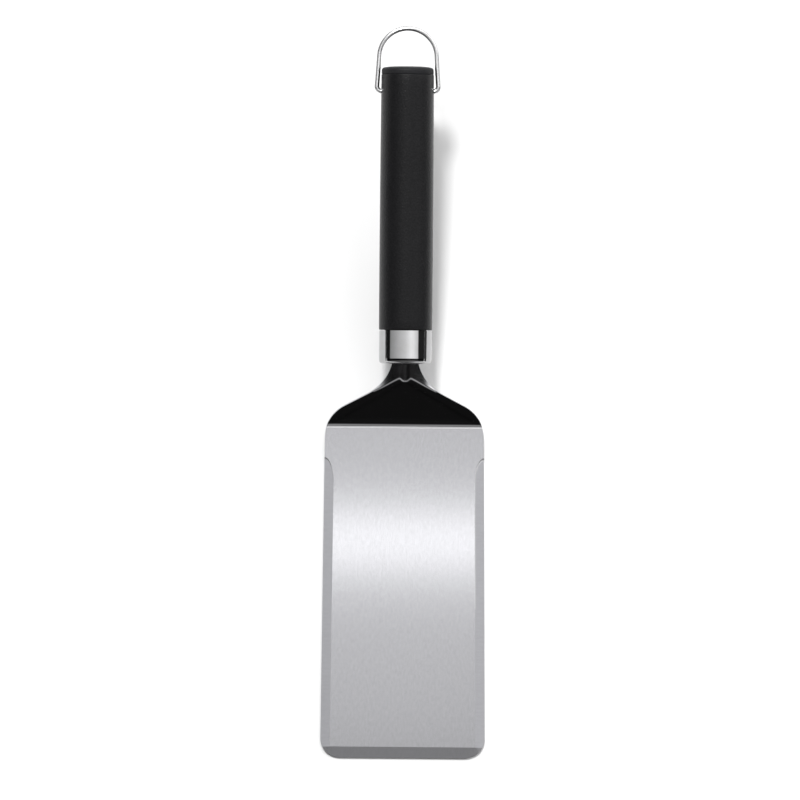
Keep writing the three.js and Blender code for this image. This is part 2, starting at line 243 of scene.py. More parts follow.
def new_material(name, **sockets):
    """A material with values for its shader's sockets, and the tree and shader themselves."""
    material = bpy.data.materials.new(name)
    material.use_nodes = True
    shader = material.node_tree.nodes["Principled BSDF"]
    for key, value in sockets.items():
        shader.inputs[key.replace("_", " ")].default_value = value
    return material, material.node_tree, shader


def add(tree, kind, **settings):
    node = tree.nodes.new(kind)
    for key, value in settings.items():
        setattr(node, key, value)
    return node


NOISE_LOW = 0.3
NOISE_HIGH = 0.7
NOISE_ROUGHNESS = 0.6


def stretched_noise(tree, scale, detail=3.0):
    """Noise on object coordinates, with its own scale along each axis."""
    coordinates = add(tree, "ShaderNodeTexCoord")
    mapping = add(tree, "ShaderNodeMapping")
    mapping.inputs["Scale"].default_value = scale
    noise = add(tree, "ShaderNodeTexNoise")
    noise.inputs["Scale"].default_value = 1.0
    noise.inputs["Detail"].default_value = detail
    noise.inputs["Roughness"].default_value = NOISE_ROUGHNESS
    tree.links.new(coordinates.outputs["Object"], mapping.inputs["Vector"])
    tree.links.new(mapping.outputs["Vector"], noise.inputs["Vector"])
    return noise.outputs["Fac"]


def ranged(tree, source, low, high):
    """Spreads the middle of a noise's values from low to high."""
    node = add(tree, "ShaderNodeMapRange")
    node.inputs["From Min"].default_value = NOISE_LOW
    node.inputs["From Max"].default_value = NOISE_HIGH
    node.inputs["To Min"].default_value = low
    node.inputs["To Max"].default_value = high
    tree.links.new(source, node.inputs["Value"])
    return node.outputs["Result"]


def mixed_colour(tree, source, dark, light):
    node = add(tree, "ShaderNodeMix", data_type="RGBA")
    node.inputs[6].default_value = (*dark, 1)
    node.inputs[7].default_value = (*light, 1)
    tree.links.new(source, node.inputs[0])
    return node.outputs[2]


def bump(tree, shader, height, distance):
    """Bumps the surface by a height of 0 to 1 times a distance in metres."""
    node = add(tree, "ShaderNodeBump")
    node.inputs["Strength"].default_value = 1.0
    node.inputs["Distance"].default_value = distance
    tree.links.new(height, node.inputs["Height"])
    tree.links.new(node.outputs["Normal"], shader.inputs["Normal"])


def grain_tangent(tree, shader):
    """The grain's direction follows the piece's own map."""
    node = add(tree, "ShaderNodeTangent", direction_type="UV_MAP", uv_map="grain")
    tree.links.new(node.outputs["Tangent"], shader.inputs["Tangent"])


# ---- Materials ----

# Scales of the patterns are per metre, across, along and through the piece. Depths are in metres.
BRUSH_DEPTH = 0.0000008
BRUSH_SHADE = 0.93
BRUSH_ROUGHNESS = 0.01
BRUSH_THROUGH = (400, 60)
POLISH_LINES = (1500, 60, 300)
POLISH_SMUDGES = (90, 90, 90)
POLISH_SHADE = 0.96
POLISH_ROUGHNESS = 0.03
PLATE_SMUDGES = (160, 160, 160)
PLATE_SHADE = 0.92
PLATE_BLUE = 1.02
PLATE_ROUGHNESS = 0.05
WEAR_PATCHES = (35, 12, 35)
WEAR_SMOOTHER = 0.04
WEAR_ROUGHER = 0.05
GRAIN_LIGHT = 1.9


def brushed_steel(name, along, across, roughness, anisotropic, light):
    """Stainless sheet with fine lines. along and across give the scales of the lines and the streaks."""
    material, tree, shader = new_material(name, Metallic=1.0, Anisotropic=anisotropic)
    lines = stretched_noise(tree, (across[0], along[0], BRUSH_THROUGH[0]))
    streaks = stretched_noise(tree, (across[1], along[1], BRUSH_THROUGH[1]), detail=2.0)
    dark = tuple(c * BRUSH_SHADE for c in light)
    colour = mixed_colour(tree, ranged(tree, streaks, 0, 1), dark, light)
    tree.links.new(colour, shader.inputs["Base Color"])
    rough = ranged(tree, lines, roughness - BRUSH_ROUGHNESS, roughness + BRUSH_ROUGHNESS)
    tree.links.new(rough, shader.inputs["Roughness"])
    bump(tree, shader, lines, BRUSH_DEPTH)
    grain_tangent(tree, shader)
    return material


def polished_steel(name, light, roughness):
    """Steel with a pressed and polished face, its faint lines and its smudges."""
    material, tree, shader = new_material(name, Metallic=1.0)
    smudges = stretched_noise(tree, POLISH_SMUDGES, detail=4.0)
    lines = stretched_noise(tree, POLISH_LINES)
    dark = tuple(c * POLISH_SHADE for c in light)
    colour = mixed_colour(tree, ranged(tree, smudges, 0, 1), dark, light)
    tree.links.new(colour, shader.inputs["Base Color"])
    rough = ranged(tree, smudges, roughness, roughness + POLISH_ROUGHNESS)
    tree.links.new(rough, shader.inputs["Roughness"])
    bump(tree, shader, lines, BRUSH_DEPTH)
    return material


def chrome(name, light, roughness):
    """Plated surface, smooth but for faint smudges."""
    material, tree, shader = new_material(name, Metallic=1.0)
    smudges = stretched_noise(tree, PLATE_SMUDGES, detail=4.0)
    dark = (light * PLATE_SHADE,) * 3
    colour = mixed_colour(tree, ranged(tree, smudges, 0, 1), dark, (light, light, light * PLATE_BLUE))
    tree.links.new(colour, shader.inputs["Base Color"])
    rough = ranged(tree, smudges, roughness, roughness + PLATE_ROUGHNESS)
    tree.links.new(rough, shader.inputs["Roughness"])
    return material


def soft_black(name, colour, roughness, grain, depth, gloss=0.17):
    """Satin black moulding with a fine sparkled grain, and patches that wear has made smoother."""
    material, tree, shader = new_material(name, Specular_IOR_Level=gloss)
    sparkle = stretched_noise(tree, (grain, grain, grain), detail=2.0)
    wear = stretched_noise(tree, WEAR_PATCHES, detail=4.0)
    lighter = tuple(c * GRAIN_LIGHT for c in colour)
    colour = mixed_colour(tree, ranged(tree, sparkle, 0, 1), colour, lighter)
    tree.links.new(colour, shader.inputs["Base Color"])
    rough = ranged(tree, wear, roughness - WEAR_SMOOTHER, roughness + WEAR_ROUGHER)
    tree.links.new(rough, shader.inputs["Roughness"])
    bump(tree, shader, sparkle, depth)
    return material


MATERIALS = {
    "blade": brushed_steel("brushed stainless", (110, 350), (1300, 1000), 0.20, 0.85,
                           (0.63, 0.63, 0.655)),
    "ground": brushed_steel("ground edge", (1300, 900), (60, 200), 0.30, 0.6, (0.40, 0.40, 0.42)),
    "burr": brushed_steel("bright burr", (60, 25), (300, 120), 0.50, 0.0, (0.42, 0.42, 0.43)),
    # The tip's grind has a darker colour than the sides' grind: painted shade on the front bevel.
    "tip": brushed_steel("ground tip with painted shade", (110, 300), (1300, 900), 0.30, 0.6, (0.25, 0.25, 0.26)),
    "ramp": polished_steel("polished pressing", (0.60, 0.60, 0.615), 0.06),
    "chrome": chrome("chrome plate", 0.46, 0.04),
    # The wire's chrome has a lighter colour than the collar's chrome: painted light on the bail.
    "wire": chrome("wire plate with painted light", 0.68, 0.22),
    "grip": soft_black("soft grip", (0.005, 0.005, 0.0055), 0.31, 1300, 0.0002),
    "cap": soft_black("cap moulding", (0.010, 0.010, 0.011), 0.5, 1800, 0.00004, gloss=0.12),
    "core": soft_black("core nylon", (0.02, 0.02, 0.021), 0.5, 1200, 0.00002),
    "seal": soft_black("seal rubber", (0.012, 0.012, 0.012), 0.6, 900, 0.00002),
    "pin": polished_steel("drawn pin", (0.6, 0.6, 0.62), 0.2),
}


# ---- Blade ----

def soft_max(a, b, softness):
    """The larger of two heights, with the turn between them rounded."""
    blend = max(softness - abs(a - b), 0) / softness
    return max(a, b) + blend * blend * softness / 4


def smooth_step(value):
    """Eases from 0 to 1 as the value does."""
    value = min(1, max(0, value))
    return value * value * (3 - 2 * value)


def section_height(x):
    """The neck's top face below its crest lines: a falling crown with a groove in the middle."""
    x = abs(x)
    if x < GROOVE_WIDTH / 2:
        return -GROOVE_DEPTH * (1 - (2 * x / GROOVE_WIDTH) ** 2) ** 2
    share = (x - GROOVE_WIDTH / 2) / ((CROWN_WIDTH - GROOVE_WIDTH) / 2)
    return -CROWN_DROP * min(1, share) ** CROWN_CURVE


def shoulder_half_width(s):
    """Half width of the sheet at s up the outline's plane, from the heel line."""
    if s < -SHOULDER_START:
        return TIP_WIDTH
    if s < SHOULDER_END_Y:
        rise = s + SHOULDER_START
        return HEEL_WIDTH / 2 - SHOULDER_RADIUS + math.sqrt(SHOULDER_RADIUS ** 2 - rise ** 2)
    if s < FILLET_START_Y:
        return SHOULDER_END_X - (s - SHOULDER_END_Y) * math.tan(SHOULDER_SLOPE)
    if s < FILLET_CENTRE_Y:
        below = FILLET_CENTRE_Y - s
        return TANG_WIDTH / 2 + NECK_FILLET_RADIUS - math.sqrt(NECK_FILLET_RADIUS ** 2 - below ** 2)
    return TANG_WIDTH / 2


def half_width(q):
    """Half width at q: along the plate ahead of the heel, up the outline's plane behind it."""
    if q > 0:
        return shoulder_half_width(q)
    side = (HEEL_WIDTH - q * (TIP_WIDTH - HEEL_WIDTH) / BLADE_LENGTH) / 2
    side = min(side, shoulder_half_width(q * math.cos(OUTLINE_ANGLE)))
    from_tip = q + BLADE_LENGTH
    if from_tip < TIP_CORNER_RADIUS:
        dip = TIP_CORNER_RADIUS - max(0, from_tip)
        corner = math.sqrt(TIP_CORNER_RADIUS ** 2 - dip ** 2)
        side = min(side, TIP_WIDTH / 2 - TIP_CORNER_RADIUS + corner)
    return side


def bevel_width(q):
    """Width of the ground side edge at q, which runs out in a quarter ellipse towards the heel."""
    past_full = q + SIDE_BEVEL_START + BEVEL_RUN_OUT
    if past_full <= 0:
        return SIDE_BEVEL
    share = min(1, past_full / BEVEL_RUN_OUT)
    return SIDE_BEVEL * math.sqrt(1 - share * share)


def ground_away(x, q):
    """How far the grinding takes the plate's top face down at a point."""
    from_edge = (half_width_without_corner(q) - abs(x)) / SIDE_BEVEL
    past_full = max(0, q + SIDE_BEVEL_START + BEVEL_RUN_OUT) / BEVEL_RUN_OUT
    side = min(BEVEL_DEPTH * (1 - from_edge), RUN_OUT_WALL * (1 - math.hypot(from_edge, past_full)))
    front = BEVEL_DEPTH * (1 - (q + BLADE_LENGTH) / FRONT_BEVEL)
    return max(0, side, front)


def on_burr(x, q):
    """Whether a point lies on the grinding's bright edge: its run-out, and the right one's crease."""
    from_edge = (half_width_without_corner(q) - abs(x)) / SIDE_BEVEL
    past_full = max(0, q + SIDE_BEVEL_START + BEVEL_RUN_OUT) / BEVEL_RUN_OUT
    on_wall = RUN_OUT_WALL * (1 - math.hypot(from_edge, past_full)) < BEVEL_DEPTH * (1 - from_edge)
    return on_wall or (x > 0 and q > -BURR_REACH and math.hypot(from_edge, past_full) > BURR_START)


def half_width_without_corner(q):
    """Half width of the plate at q, as if its tip corners were square."""
    return (HEEL_WIDTH - q * (TIP_WIDTH - HEEL_WIDTH) / BLADE_LENGTH) / 2


def sheet_height(x, s, depth):
    """Height of a face of the sheet over the outline's plane, depth below the top face."""
    ramp = s * math.tan(HALF_TURN) - depth / math.cos(HALF_TURN)
    ramp -= HEEL_SHIFT * (1 - max(0, s) / CREST_PLACE)
    plate = -s * math.tan(OUTLINE_ANGLE) - depth / math.cos(OUTLINE_ANGLE)
    neck = CREST_HEIGHT - (s - CREST_PLACE) * math.tan(HALF_TURN)
    dip = NECK_DIP * max(0, 1 - (x / NECK_DIP_WIDTH) ** 2)
    neck -= dip * max(NECK_DIP_PIVOT - NECK_LENGTH, CREST_PLACE + NECK_DIP_PIVOT - s)
    neck += (section_height(x) - depth) / math.cos(HALF_TURN)
    heel = HEEL_SOFTNESS_TOP if depth == 0 else HEEL_SOFTNESS_UNDER
    height = soft_max(ramp, plate, heel)
    inside = (DISH_APEX - s) * DISH_SLOPE - abs(x)
    dish = smooth_step(inside / DISH_BORDER) * smooth_step((s - DISH_START) / DISH_BORDER)
    height -= DISH_DEPTH * dish
    return -soft_max(-height, -neck, CREST_SOFTNESS)


def sheet_point(x, q, depth):
    """Point of the sheet at x and q, depth below its top face."""
    heel_y = BLADE_LENGTH / 2
    if q < -SHOULDER_START - SHEET:
        z = 0 if depth else SHEET - ground_away(x, q)
        return Vector((x, heel_y + q, z))
    s = q * math.cos(OUTLINE_ANGLE) if q < 0 else q
    height = sheet_height(x, s, depth)
    y = s * math.cos(OUTLINE_ANGLE) - height * math.sin(OUTLINE_ANGLE)
    z = s * math.sin(OUTLINE_ANGLE) + height * math.cos(OUTLINE_ANGLE)
    if q < 0 and depth:
        y -= (y - q) * smooth_step(-q / SHOULDER_START)
    return Vector((x, heel_y + y, SHEET + z))


def spaced(start, end, step):
    """Evenly spaced places from start to just before end."""
    count = max(1, round(abs(end - start) / step))
    return [start + (end - start) * i / count for i in range(count)]


def blade_rows():
    """Places of the rows from the tip to the tang's end, close together where the sheet turns."""
    tip = -BLADE_LENGTH
    radius = TIP_CORNER_RADIUS
    crease = math.degrees(math.asin(1 - FRONT_BEVEL / radius))
    rows = [tip + radius * (1 - math.sin(math.radians(a))) for a in spaced(90, crease, TIP_TURN)]
    rows += [tip + radius * (1 - math.sin(math.radians(a))) for a in spaced(crease, 0, CREASE_TURN)]
    full = -SIDE_BEVEL_START - BEVEL_RUN_OUT
    rows += spaced(tip + radius, full, PLATE_STEP)
    rows += [full + BEVEL_RUN_OUT * math.sin(math.radians(a)) for a in spaced(0, 90, RUN_OUT_TURN)]
    for start, end, step in ROW_STRETCHES:
        rows += spaced(start, end, step)
    return rows + [TANG_END]


def blade_columns(q):
    """Places of the columns across the sheet, with a line on the ground edge's crease."""
    half = half_width(q)
    if q + BLADE_LENGTH < TIP_CORNER_RADIUS:
        strip = half - (half_width_without_corner(q) - SIDE_BEVEL)
    else:
        strip = bevel_width(q)
    strip = max(RIM_STRIP, strip)
    crease = half - strip
    places = [crease * i / COLUMNS_INSIDE for i in range(COLUMNS_INSIDE + 1)]
    for i in range(1, COLUMNS_IN_STRIP + 1):
        places.append(crease + strip * (i / COLUMNS_IN_STRIP) ** STRIP_CROWDING)
    return [-x for x in reversed(places[1:])] + places


def face_finish(x, q):
    """Finish of the sheet's top face at a point."""
    if q >= 0 or ground_away(x, q) <= LEAST_CUT:
        return "blade" if q < POLISH_START else "ramp"
    # The front bevel takes the tip finish, whose darker colour is painted shade.
    if q + BLADE_LENGTH <= FRONT_BEVEL:
        return "tip"
    return "burr" if on_burr(x, q) else "ground"


def make_blade():
    """Lays a grid out for the sheet, doubles it for the underside and closes the rim between them."""
    finishes = ["blade", "ground", "ramp", "tip", "burr"]
    rows = blade_rows()
    columns = [blade_columns(q) for q in rows]
    across, along = len(columns[0]) - 1, len(rows) - 1
    bm = bmesh.new()
    grain = bm.loops.layers.uv.new("grain")
    bmesh.ops.create_grid(bm, x_segments=across, y_segments=along, size=1)
    place = {}
    for vert in bm.verts:
        i = round((vert.co.x + 1) / 2 * across)
        j = round((vert.co.y + 1) / 2 * along)
        place[vert] = (columns[j][i], rows[j])
    for face in bm.faces:
        x = sum(place[v][0] for v in face.verts) / 4
        q = sum(place[v][1] for v in face.verts) / 4
        finish = face_finish(x, q)
        face.material_index = finishes.index(finish)
        for loop in face.loops:
            px, pq = place[loop.vert]
            crosswise = finish in ("ground", "burr")
            loop[grain].uv = (pq * MM, px * MM) if crosswise else (px * MM, pq * MM)
    made = bmesh.ops.duplicate(bm, geom=list(bm.verts) + list(bm.edges) + list(bm.faces))
    under = {made["vert_map"][v]: place[v] for v in place}
    under_faces = [f for f in made["geom"] if isinstance(f, bmesh.types.BMFace)]
    for vert, (x, q) in place.items():
        vert.co = sheet_point(x, q, 0)
    for vert, (x, q) in under.items():
        vert.co = sheet_point(x, q, SHEET)
    ramp = finishes.index("ramp")
    for face in under_faces:
        face.material_index = ramp if face.material_index == ramp else finishes.index("blade")
    bmesh.ops.reverse_faces(bm, faces=under_faces)
    rim = [e for e in bm.edges if e.is_boundary]
    for face in bmesh.ops.bridge_loops(bm, edges=rim)["faces"]:
        face.material_index = finishes.index("ground")
    bmesh.ops.bevel(bm, geom=rim, offset=RIM_ROUND, offset_type="OFFSET", segments=2, profile=0.5,
                    affect="EDGES", clamp_overlap=True, material=-1)
    fit = Matrix.Scale(MM, 4) @ Matrix.Translation((0, 0, BLADE_LIFT)) @ Matrix.Scale(BLADE_SHRINK, 4)
    finish_piece(bm, "blade_pressing", "spatula", ["blade"], finishes, fit,
                 sharp=BLADE_SHARP)


# ---- Handle pieces ----

def slot_outline(bm, place):
    """Ring of vertices round the sheet's slot, drawn on the plane at a place along the handle."""
    middle = (SHEET + GROOVE_DEPTH) / 2
    half = FERRULE_SLOT_HALF + GAP
    xs = [-half + 2 * half * i / SLOT_STEPS for i in range(SLOT_STEPS + 1)]
    top = [(x, section_height(x) + middle + GAP) for x in xs]
    bottom = [(x, section_height(x) + middle - SHEET - GAP) for x in reversed(xs)]
    return [bm.verts.new((x, place, z)) for x, z in top + bottom]


def make_ferrule():
    """Turned collar that narrows towards its rounded front, with the sheet's slot through its face.

    Rings close beside each turn of the profile hold the shading tight there."""
    edge = FERRULE_ROUND
    bore = FERRULE_RADIUS - FERRULE_WALL
    slope = math.tan(math.radians(FERRULE_ROLL_SLOPE))
    roll_radius = FERRULE_RADIUS - FERRULE_ROLL * slope
    face_radius = roll_radius - edge
    profile = [(face_radius, 0)]
    profile += arc(face_radius, edge, edge, -90, -FERRULE_ROLL_SLOPE, 14)[1:]
    for place in (RING_NEAR, FERRULE_ROLL - RING_NEAR):
        profile.append((roll_radius + place * slope, edge + place))
    for place in (0, RING_NEAR, RING_FAR):
        profile.append((FERRULE_RADIUS, edge + FERRULE_ROLL + place))
    profile += [(FERRULE_RADIUS, FERRULE_LENGTH), (bore, FERRULE_LENGTH), (bore, FERRULE_FRONT_WALL)]
    bm = turned(profile)
    for place, radius in ((0, face_radius), (FERRULE_FRONT_WALL, bore)):
        ring = slot_outline(bm, place)
        slot = [bm.edges.new(pair) for pair in zip(ring, ring[1:] + ring[:1])]
        rim = [e for e in bm.edges if e.is_boundary and all(
            abs(v.co.y - place) < SAME and v.co.xz.length > radius - SAME for v in e.verts)]
        bmesh.ops.triangle_fill(bm, edges=slot + rim, use_beauty=True)
    slots = [e for e in bm.edges if e.is_boundary]
    bmesh.ops.bridge_loops(bm, edges=slots)
    finish_piece(bm, "ferrule_collar", "spatula", ["ferrule"], ["chrome"], to_handle())


def cut_foot_holes(bm):
    """Drills the bail's cross hole through a turned body."""
    mesh = bpy.data.meshes.new("body")
    bmesh.ops.recalc_face_normals(bm, faces=bm.faces)
    bm.to_mesh(mesh)
    body = bpy.data.objects.new("body", mesh)
    drill_bm = bmesh.new()
    turn = Matrix.Translation((0, PIVOT_PLACE, 0)) @ Matrix.Rotation(math.pi / 2, 4, "Y")
    bmesh.ops.create_cone(drill_bm, cap_ends=True, segments=DRILL_SIDES, radius1=FOOT_HOLE,
                          radius2=FOOT_HOLE, depth=DRILL_LENGTH, matrix=turn)
    drill_mesh = bpy.data.meshes.new("drill")
    drill_bm.to_mesh(drill_mesh)
    drill_bm.free()
    drill = bpy.data.objects.new("drill", drill_mesh)
    for obj in (body, drill):
        bpy.context.scene.collection.objects.link(obj)
    cut = body.modifiers.new("holes", "BOOLEAN")
    cut.operation = "DIFFERENCE"
    cut.solver = "EXACT"
    cut.object = drill
    bpy.context.view_layer.update()
    result = body.evaluated_get(bpy.context.evaluated_depsgraph_get()).to_mesh()
    bm.clear()
    bm.from_mesh(result)
    for obj in (body, drill):
        bpy.data.objects.remove(obj)
    for old in (mesh, drill_mesh):
        bpy.data.meshes.remove(old)


def make_grip():
    """Turned sleeve with a slight barrel, a little thinner at its far end."""
    length = GRIP_END - GRIP_FRONT
    profile = [(GRIP_BORE, GRIP_FRONT)]
    profile += arc(GRIP_RADIUS - GRIP_ROUND, GRIP_FRONT + GRIP_ROUND, GRIP_ROUND, -90, 0, 5)
    for i in range(1, GRIP_STEPS):
        share = i / GRIP_STEPS
        swell = GRIP_SWELL * 4 * share * (1 - share) - GRIP_TAPER * share
        profile.append((GRIP_RADIUS + swell, GRIP_FRONT + length * share))
    end = GRIP_RADIUS - GRIP_TAPER
    profile += arc(end - GRIP_ROUND, GRIP_END - GRIP_ROUND, GRIP_ROUND, 0, 90, 5)
    profile += [(GRIP_BORE, GRIP_END)]
    bm = turned(profile, closed=True)
    cut_foot_holes(bm)
    finish_piece(bm, "grip_skin", "spatula", ["grip_sleeve"], ["grip"], to_handle())


def make_cap():
    """Turned cap with a low dome, and the plug that fills the end of the core."""
    radius = GRIP_RADIUS - GRIP_TAPER - CAP_INSET
    top = CAP_SEAM + CAP_THICKNESS
    edge, seam = CAP_ROUND, CAP_SEAM_ROUND
    profile = [(0, PLUG_END), (PLUG_RADIUS - PLUG_CHAMFER, PLUG_END)]
    profile += [(PLUG_RADIUS, PLUG_END + PLUG_CHAMFER), (PLUG_RADIUS, CAP_SEAM)]
    profile += arc(radius - seam, CAP_SEAM + seam, seam, -90, 0, 3)
    profile += arc(radius - edge, top - CAP_CROWN - edge, edge, 0, CAP_ROUND_TURN, 8)
    start_r, start_y = profile[-1]
    for i in range(1, DOME_STEPS + 1):
        left = 1 - i / DOME_STEPS
        profile.append((start_r * left, start_y + (top - start_y) * (1 - left ** CAP_DOME_POWER)))
    bm = turned(profile)
    cut_foot_holes(bm)
    finish_piece(bm, "handle_cap", "spatula", ["end_cap"], ["cap"], to_handle())


def make_bail():
    """One wire: foot, corner, leg, arch and back, swept from a round section."""
    arch_y = BAIL_REACH - BAIL_ARCH
    bm = bmesh.new()
    start = Matrix.Translation((BAIL_FOOT_END, 0, 0)) @ Matrix.Rotation(math.pi / 2, 4, "Y")
    bmesh.ops.create_circle(bm, cap_ends=True, segments=WIRE_SIDES, radius=WIRE_RADIUS, matrix=start)
    first = bm.faces[:]
    front = list(first)

    def grow(steps, step):
        """Draws the wire on by steps, each the same small move of its front face.

        The first face stays, to close the wire's start."""
        for _ in range(steps):
            made = bmesh.ops.extrude_face_region(bm, geom=front)["geom"]
            if front != first:
                bmesh.ops.delete(bm, geom=front, context="FACES_ONLY")
            front[:] = [g for g in made if isinstance(g, bmesh.types.BMFace)]
            bmesh.ops.transform(bm, matrix=step, verts=front[0].verts[:])

    def straight(offset, steps):
        grow(steps, Matrix.Translation(Vector(offset) / steps))

    def bend(centre, angle, steps):
        there = Matrix.Translation(centre)
        grow(steps, there @ Matrix.Rotation(angle / steps, 4, "Z") @ there.inverted())

    foot_run = BAIL_FOOT - BAIL_CORNER - BAIL_FOOT_END
    lean, rise = BAIL_ARCH - BAIL_FOOT, arch_y - BAIL_CORNER
    straight((foot_run, 0, 0), FOOT_STEPS)
    bend((BAIL_FOOT - BAIL_CORNER, BAIL_CORNER, 0), math.pi / 2, CORNER_STEPS)
    straight((lean, rise, 0), LEG_STEPS)
    bend((0, arch_y, 0), math.pi, ARCH_STEPS)
    straight((lean, -rise, 0), LEG_STEPS)
    bend((BAIL_CORNER - BAIL_FOOT, BAIL_CORNER, 0), math.pi / 2, CORNER_STEPS)
    straight((foot_run, 0, 0), FOOT_STEPS)
    place = to_handle() @ Matrix.Translation((0, PIVOT_PLACE, 0))
    finish_piece(bm, "wire_bail", "bail", ["hanging_bail"], ["wire"], place)


make_blade()
make_ferrule()
make_grip()
make_cap()
make_bail()

# The pieces that the handle hides keep the frame's meshes.
for node, finish in (("neck_seal", "seal"), ("handle_core", "core"),
                     ("tang_pin_front", "pin"), ("tang_pin_rear", "pin")):
    mesh = frame["nodes"][node].data
    mesh.materials.clear()
    mesh.materials.append(MATERIALS[finish])


# ---- Stage, in metres ----

FLOOR_SIDE = 12.0
FLOOR_DROP = 0.0002
FLOOR_COLOUR = (0.79, 0.79, 0.79, 1)
CARD_COLOUR = (0.01, 0.01, 0.01, 1)
CARD_GLOSS = 0.5
CARD_FRONT = 0.09
CARD_BACK = 0.24
CARD_RIGHT = (0.124, 3.0)
CARD_LEFT = (-0.220, -3.0)


def flat_piece(name, width, depth, place, colour, gloss):
    """A flat matt piece of the stage, centred at a place."""
    bm = bmesh.new()
    bmesh.ops.create_grid(bm, x_segments=1, y_segments=1, size=0.5)
    bmesh.ops.scale(bm, vec=(width, depth, 1), verts=bm.verts)
    mesh = bpy.data.meshes.new(name)
    bm.to_mesh(mesh)
    bm.free()
    piece = bpy.data.objects.new(name, mesh)
    piece.location = place
    bpy.context.scene.collection.objects.link(piece)
    material, _, shader = new_material(name, Roughness=0.9, Specular_IOR_Level=gloss)
    shader.inputs["Base Color"].default_value = colour
    mesh.materials.append(material)
    return piece


def make_floor():
    floor = flat_piece("floor", FLOOR_SIDE, FLOOR_SIDE, (0, 0, -FLOOR_DROP), FLOOR_COLOUR, 0.0)


def make_card(name, near, far):
    """A dark card lying at one side, from near to far, seen only in reflections."""
    place = ((near + far) / 2, (CARD_FRONT + CARD_BACK) / 2, 0)
    card = flat_piece(name, abs(far - near), CARD_BACK - CARD_FRONT, place, CARD_COLOUR, CARD_GLOSS)
    card.visible_camera = card.visible_diffuse = card.visible_shadow = False
    card.visible_transmission = card.visible_volume_scatter = False


# ---- Light ----

def area_light(name, shape, place, target, width, depth, watts):
    """A light that faces its target and that the camera doesn't see."""
    data = bpy.data.lights.new(name, "AREA")
    data.shape = shape
    data.size = width
    data.size_y = depth
    data.energy = watts
    light = bpy.data.objects.new(name, data)
    direction = Vector(target) - Vector(place)
    turn = direction.to_track_quat("-Z", "Y").to_matrix().to_4x4()
    light.matrix_world = Matrix.Translation(place) @ turn
    light.visible_camera = False
    bpy.context.scene.collection.objects.link(light)


ACROSS = Vector((1, 0, 0))
TO_CAMERA = ACROSS.cross(HANDLE_AXIS)


def turn_stop(degrees):
    """Place on a ramp of a turn about the handle, from straight above it towards the right."""
    return 0.5 + degrees / 360


def ahead_stop(value):
    """Place on a ramp of a lean, from -1 towards the tip to 1 towards the handle's end."""
    return 0.5 + 0.5 * value


# Levels of the light by turn and by lean. The band is a narrow ring square to the handle and the
# rest lies on both sides of it. The back fills the sides towards the tip, and the panel stands to
# the right, towards the handle's end.

BAND_SIDES = [
    (0.0, 0.92),
    (turn_stop(-101), 0.92),
    (turn_stop(-98), 0.0184),
    (turn_stop(-73), 0.0184),
    (turn_stop(-70), 0.479),
    (turn_stop(-40), 0.773),
    (turn_stop(0), 1.22),
    (turn_stop(24), 1.75),
    (turn_stop(36), 1.65),
    (turn_stop(56), 1.14),
    (turn_stop(59), 0.0276),
    (turn_stop(98), 0.0276),
    (turn_stop(101), 0.92),
    (1.0, 0.92),
]

BAND_PLACE = [
    (0.0, 0.0),
    (ahead_stop(-0.08), 0.0),
    (ahead_stop(-0.03), 1.0),
    (ahead_stop(0.05), 1.0),
    (ahead_stop(0.1), 0.0),
    (1.0, 0.0),
]

REST_SIDES = [
    (0.0, 0.3),
    (turn_stop(-90), 0.15),
    (turn_stop(-60), 0.12),
    (turn_stop(-32), 0.75),
    (turn_stop(-15), 1.0),
    (turn_stop(15), 0.95),
    (turn_stop(26), 1.25),
    (turn_stop(38), 1.25),
    (turn_stop(60), 0.7),
    (turn_stop(90), 0.8),
    (1.0, 0.5),
]

REST_PLACE = [
    (0.0, 0.004),
    (ahead_stop(-0.72), 0.012),
    (ahead_stop(-0.45), 0.4),
    (ahead_stop(-0.25), 0.4),
    (ahead_stop(-0.16), 0.012),
    (ahead_stop(-0.04), 0.004),
    (ahead_stop(0.04), 0.004),
    (ahead_stop(0.1), 0.58),
    (ahead_stop(0.5), 0.58),
    (ahead_stop(0.62), 1.9),
    (ahead_stop(0.8), 1.9),
    (1.0, 1.2),
]

PANEL_SIDES = [
    (0.0, 0.0),
    (turn_stop(36), 0.0),
    (turn_stop(50), 3.6),
    (turn_stop(68), 3.6),
    (turn_stop(90), 0.0),
    (1.0, 0.0),
]

PANEL_PLACE = [
    (0.0, 0.0),
    (ahead_stop(0.12), 0.0),
    (ahead_stop(0.2), 0.58),
    (ahead_stop(0.55), 0.58),
    (ahead_stop(0.65), 0.0),
    (1.0, 0.0),
]

BACK_SIDES = [
    (0.0, 0.5),
    (turn_stop(-60), 0.5),
    (turn_stop(-40), 0.0),
    (turn_stop(40), 0.0),
    (turn_stop(60), 0.5),
    (1.0, 0.5),
]

BACK_PLACE = [
    (0.0, 1.0),
    (ahead_stop(-0.45), 1.0),
    (ahead_stop(-0.25), 0.0),
    (1.0, 0.0),
]

BACKDROP = 0.85


